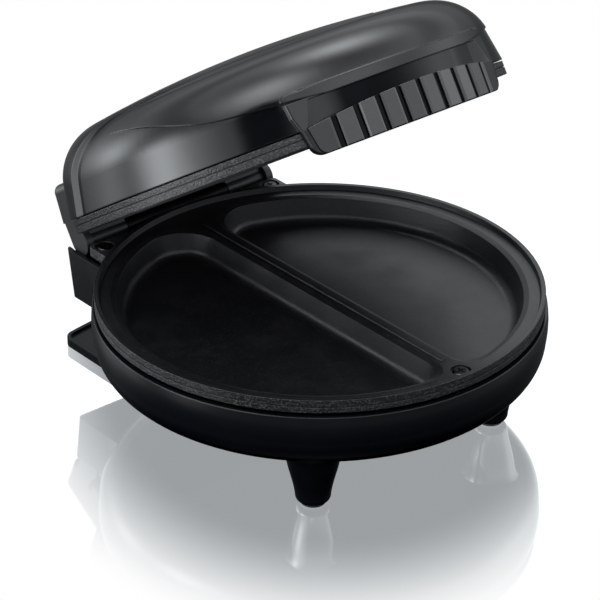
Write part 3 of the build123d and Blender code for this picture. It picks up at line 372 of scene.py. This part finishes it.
# studio
studio = {"floorSize": 6.0, "mirror": 0.643, "mirrorCentre": (0.042, 0.038 + plateAxisY),
          "mirrorAlong": (-0.648, -0.762), "mirrorStretch": 1.52, "fadeStart": 0.171, "fadeEnd": 0.262,
          "polish": 0.04, "roomColor": (0.94, 0.975, 1.0), "paintedReflectionTint": (0.87, 0.95, 1.0),
          "mirrorColor": (1.5, 1.5, 1.47)}
baseLight = [  # height in degrees, brightness of the room there
    (-90, 0.03), (-30, 0.05), (-20, 0.13), (-10, 0.1), (0, 0.25), (10, 0.42), (20, 0.7), (30, 0.62),
    (45, 1.23), (60, 0.97), (90, 0.4)]
brightest = 2.0               # full scale of the curve through them
softLights = [  # azimuth and height in degrees, brightness, tightness
    {"name": "overheadRight", "azimuth": 37, "height": 59, "power": 1.9, "tight": 36},
    {"name": "overheadBack", "azimuth": 53, "height": 63, "power": 3.4, "tight": 33},
    {"name": "overheadLeft", "azimuth": 180, "height": 68, "power": 4.7, "tight": 19},
    {"name": "leftLow", "azimuth": 161, "height": 4, "power": 7.4, "tight": 30},
    {"name": "leftBackLow", "azimuth": 124, "height": 0, "power": 3.9, "tight": 29},
    {"name": "backLow", "azimuth": 104, "height": -7, "power": 1.0, "tight": 26},
    {"name": "leftSide", "azimuth": 184, "height": 12, "power": 2.0, "tight": 28},
    {"name": "frontHigh", "azimuth": 279, "height": 43, "power": 0.8, "tight": 10},
    {"name": "frontRight", "azimuth": 333, "height": 14, "power": 1.1, "tight": 12},
    {"name": "besideCamera", "azimuth": 219, "height": 31, "power": 10.2, "tight": 89},
    {"name": "acrossFloor", "azimuth": 50, "height": 30, "power": 0.3, "tight": 50},
]
darkCorners = [  # where the room is black, in degrees
    {"name": "behindCamera", "azimuth": 213, "height": 36, "inside": 10, "outside": 18},
]


def heading(azimuth, height):
    across = math.cos(math.radians(height))
    return Vector((across * math.cos(math.radians(azimuth)), across * math.sin(math.radians(azimuth)),
                   math.sin(math.radians(height))))


def makeWorld():  # a soft white room, seen in the glossy shell, with a plain white behind
    world = bpy.data.worlds.new("studioRoom")
    bpy.context.scene.world = world
    tree = newTree(world)
    coords = addNode(tree, "ShaderNodeTexCoord", (-1400, 0)).outputs["Generated"]
    away = vectorNode(tree, "NORMALIZE", coords, place=(-1200, 0))
    parts = addNode(tree, "ShaderNodeSeparateXYZ", (-1000, 300))
    tree.links.new(away, parts.inputs["Vector"])
    height = mathNode(tree, "ARCSINE", parts.outputs["Z"], place=(-850, 300))
    steps = addNode(tree, "ShaderNodeFloatCurve", (-500, 300))
    share = ramp(tree, height, -math.pi / 2, math.pi / 2, place=(-700, 300), smooth=False)
    tree.links.new(share, steps.inputs["Value"])
    curve = steps.mapping.curves[0]
    for i, (angle, light) in enumerate(baseLight):
        if i in (0, len(baseLight) - 1):
            curve.points[0 if i == 0 else -1].location = ((angle + 90) / 180, light / brightest)
        else:
            curve.points.new((angle + 90) / 180, light / brightest)
    steps.mapping.update()
    total = mathNode(tree, "MULTIPLY", steps.outputs["Value"], brightest, place=(-200, 300))
    for i, light in enumerate(softLights):
        y = -200 * i
        facing = vectorNode(tree, "DOT_PRODUCT", away, heading(light["azimuth"], light["height"]), (-900, y))
        inFront = mathNode(tree, "MAXIMUM", facing, 0.0, place=(-700, y))
        spot = mathNode(tree, "POWER", inFront, light["tight"], place=(-500, y))
        total = mathNode(tree, "MULTIPLY_ADD", spot, light["power"], total, place=(-200, y))
    for i, dark in enumerate(darkCorners):
        y = 600 + 200 * i
        facing = vectorNode(tree, "DOT_PRODUCT", away, heading(dark["azimuth"], dark["height"]), (-900, y))
        shade = ramp(tree, facing, math.cos(math.radians(dark["outside"])),
                     math.cos(math.radians(dark["inside"])), 1.0, 0.0, place=(-500, y))
        total = mathNode(tree, "MULTIPLY", total, shade, place=(0, y))
    room = setInputs(addNode(tree, "ShaderNodeBackground", (200, 100)), {"Color": (*studio["roomColor"], 1)})
    tree.links.new(total, room.inputs["Strength"])
    plain = setInputs(addNode(tree, "ShaderNodeBackground", (200, -100)),
                      {"Color": (1, 1, 1, 1), "Strength": 1.0})
    seen = addNode(tree, "ShaderNodeMixShader", (450, 0))
    path = addNode(tree, "ShaderNodeLightPath", (200, 500))
    tree.links.new(path.outputs["Is Camera Ray"], seen.inputs[0])
    tree.links.new(room.outputs[0], seen.inputs[1])
    tree.links.new(plain.outputs[0], seen.inputs[2])
    tree.links.new(seen.outputs[0], addNode(tree, "ShaderNodeOutputWorld", (700, 0)).inputs["Surface"])


def makeFloor():  # white sheet with a faint polish under the object, which fades out around it; under the object the white takes a painted cool reflection tint
    half = studio["floorSize"] / 2
    mesh = bpy.data.meshes.new("studioFloor")
    corners = [(-half, -half, 0), (half, -half, 0), (half, half, 0), (-half, half, 0)]
    mesh.from_pydata(corners, [], [(0, 1, 2, 3)])
    floor = bpy.data.objects.new("studioFloor", mesh)
    bpy.context.scene.collection.objects.link(floor)
    material = bpy.data.materials.new("paleFloor")
    tree = newTree(material)
    coords = addNode(tree, "ShaderNodeTexCoord", (-1200, 0)).outputs["Object"]
    x, y = studio["mirrorCentre"]
    away = vectorNode(tree, "SUBTRACT", coords, Vector((x, y, 0)), (-1000, 0))
    alongX, alongY = studio["mirrorAlong"]
    deep = vectorNode(tree, "DOT_PRODUCT", away, Vector((alongX, alongY, 0)), (-800, 100))
    widthways = Vector((-alongY, alongX, 0)) * studio["mirrorStretch"]
    wide = vectorNode(tree, "DOT_PRODUCT", away, widthways, (-800, -100))
    deepSquare = mathNode(tree, "MULTIPLY", deep, deep, place=(-600, 100))
    squares = mathNode(tree, "MULTIPLY_ADD", wide, wide, deepSquare, place=(-450, 0))
    away = mathNode(tree, "SQRT", squares, place=(-300, 0))
    share = ramp(tree, away, studio["fadeStart"], studio["fadeEnd"], studio["mirror"], 0.0, place=(-150, 0))
    white = addNode(tree, "ShaderNodeEmission", (50, 100))
    # painted reflection tint: the white turns cool under the object, where its reflection lies
    sheetWithPaintedTint = mixColor(tree, share, (1, 1, 1, 1), (*studio["paintedReflectionTint"], 1), (-150, 250))
    tree.links.new(sheetWithPaintedTint, white.inputs["Color"])
    mirror = setInputs(addNode(tree, "ShaderNodeBsdfGlossy", (50, -100)),
                       {"Color": (*studio["mirrorColor"], 1), "Roughness": studio["polish"]})
    seen = addNode(tree, "ShaderNodeMixShader", (300, 0))
    tree.links.new(share, seen.inputs[0])
    tree.links.new(white.outputs[0], seen.inputs[1])
    tree.links.new(mirror.outputs[0], seen.inputs[2])
    tree.links.new(seen.outputs[0], addNode(tree, "ShaderNodeOutputMaterial", (550, 0)).inputs["Surface"])
    mesh.materials.append(material)
    floor.visible_glossy = False   # the dark shell shows no floor
    floor.visible_diffuse = False
    floor.visible_shadow = False


cameraLook = {"place": (-0.8229, -0.9685 + plateAxisY, 0.7672), "lens": 178.8, "sensor": 36.0,
              "shiftX": -0.0327, "shiftY": 0.0785, "right": (0.7633, -0.6460, 0.0034),
              "up": (0.3202, 0.3830, 0.8665), "back": (-0.5610, -0.6603, 0.4992)}


def makeCamera():
    data = bpy.data.cameras.new("studioCamera")
    data.lens = cameraLook["lens"]
    data.sensor_width = cameraLook["sensor"]
    data.shift_x, data.shift_y = cameraLook["shiftX"], cameraLook["shiftY"]
    camera = bpy.data.objects.new("studioCamera", data)
    bpy.context.scene.collection.objects.link(camera)
    axes = Matrix((cameraLook["right"], cameraLook["up"], cameraLook["back"])).transposed().to_4x4()
    camera.matrix_world = Matrix.Translation(cameraLook["place"]) @ axes
    bpy.context.scene.camera = camera


makeWorld()
makeFloor()
makeCamera()
bpy.context.scene.view_settings.view_transform = "Standard"
print("studio made")
